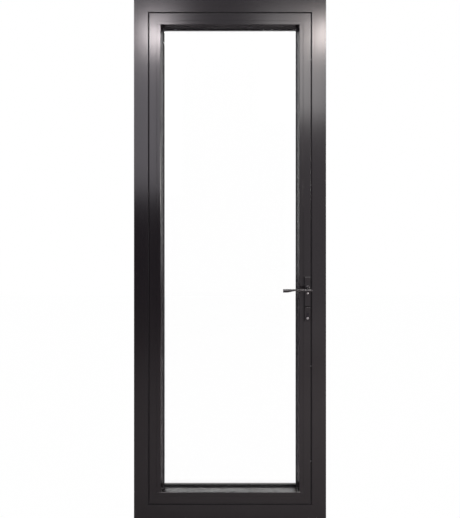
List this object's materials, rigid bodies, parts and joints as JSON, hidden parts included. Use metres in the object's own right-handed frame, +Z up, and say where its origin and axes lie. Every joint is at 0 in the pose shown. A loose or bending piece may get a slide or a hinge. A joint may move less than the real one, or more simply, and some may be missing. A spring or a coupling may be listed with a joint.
{
  "type": "entry door",
  "caption": "Fully glazed aluminium entry door leaf in its frame, opening outward, with lever, drive rods and a key-turned deadbolt.",
  "frame": {"origin": "middle of the sill's underside, halfway through the frame's depth", "axes": "+X along the width to the lock side, +Y from the room to the outdoors, +Z up"},
  "size_m": [0.885, 0.169, 2.4],
  "materials": {
    "black_coat": "satin",
    "handle_coat": "satin",
    "hinge_coat": "satin",
    "polyamide": "matte",
    "cap_plastic": "matte",
    "block_plastic": "matte",
    "cast_aluminium": "matte",
    "spacer_aluminium": "matte",
    "epdm": "matte",
    "sealant": "matte",
    "float_glass": "gloss",
    "zinced_steel": "satin",
    "stainless": "satin",
    "black_nickel": "satin",
    "nickel": "satin"
  },
  "bodies": {
    "frame": {"hinge_jamb_inner": "black_coat", "hinge_jamb_outer": "black_coat", "lock_jamb_inner": "black_coat", "lock_jamb_outer": "black_coat", "head_inner": "black_coat", "head_outer": "black_coat", "sill_inner": "black_coat", "sill_outer": "black_coat", "frame_thermal_bars": "polyamide", "frame_corner_cleats": "cast_aluminium", "frame_seal": "epdm", "keepers": "zinced_steel", "deadbolt_strike": "zinced_steel", "hinge_frame_wings": "hinge_coat", "drain_caps": "cap_plastic"},
    "leaf": {"hinge_stile_inner": "black_coat", "hinge_stile_outer": "black_coat", "lock_stile_inner": "black_coat", "lock_stile_outer": "black_coat", "top_rail_inner": "black_coat", "top_rail_outer": "black_coat", "bottom_rail_inner": "black_coat", "bottom_rail_outer": "black_coat", "leaf_thermal_bars": "polyamide", "leaf_corner_cleats": "cast_aluminium", "leaf_seal": "epdm", "bead_top": "black_coat", "bead_bottom": "black_coat", "bead_hinge_side": "black_coat", "bead_lock_side": "black_coat", "inner_glazing_gasket": "epdm", "outer_glazing_gasket": "epdm", "glass_inner": "float_glass", "glass_outer": "float_glass", "glass_spacer": "spacer_aluminium", "glass_edge_seal": "sealant", "setting_blocks": "block_plastic", "hinge_leaf_wings": "hinge_coat", "lock_case": "zinced_steel", "lock_faceplate": "stainless", "inner_backplate": "handle_coat", "inner_escutcheon": "handle_coat", "outer_backplate": "handle_coat", "outer_knob": "handle_coat", "plate_screw": "stainless", "cylinder_body": "black_nickel", "cylinder_screw": "stainless"},
    "lever": {"lever_handle": "handle_coat", "spindle": "zinced_steel", "drive_pinion": "zinced_steel"},
    "upper_rods": {"upper_drive_rod": "zinced_steel", "upper_rod_cams": "zinced_steel"},
    "lower_rods": {"lower_drive_rod": "zinced_steel", "lower_rod_cams": "zinced_steel"},
    "key_plug": {"cylinder_plug": "nickel"},
    "bolt": {"deadbolt": "stainless"}
  },
  "joints": [
    {"name": "leaf_swing", "type": "hinge", "parent": "frame", "child": "leaf", "pos_m": [-0.39425, 0.045, 1.2], "axis": [0, 0, 1], "range_deg": [0, 110]},
    {"name": "lever_turn", "type": "hinge", "parent": "leaf", "child": "lever", "pos_m": [0.3565, -0.01825, 1.06], "axis": [0, -1, 0], "range_deg": [0, 90]},
    {"name": "upper_rod_slide", "type": "slide", "parent": "leaf", "child": "upper_rods", "axis": [0, 0, 1], "range_m": [0, 0.0126]},
    {"name": "lower_rod_slide", "type": "slide", "parent": "leaf", "child": "lower_rods", "axis": [0, 0, -1], "range_m": [0, 0.0126]},
    {"name": "key_turn", "type": "hinge", "parent": "leaf", "child": "key_plug", "pos_m": [0.3565, -0.01825, 0.926], "axis": [0, -1, 0], "range_deg": [0, 360]},
    {"name": "bolt_slide", "type": "slide", "parent": "leaf", "child": "bolt", "axis": [1, 0, 0], "range_m": [0, 0.02]}
  ],
  "couplings": [
    {"joint": "upper_rod_slide", "follows": "lever_turn", "m_per_rad": 0.008},
    {"joint": "lower_rod_slide", "follows": "lever_turn", "m_per_rad": 0.008},
    {"joint": "key_turn", "follows": "bolt_slide", "rad_per_m": 314.16}
  ]
}
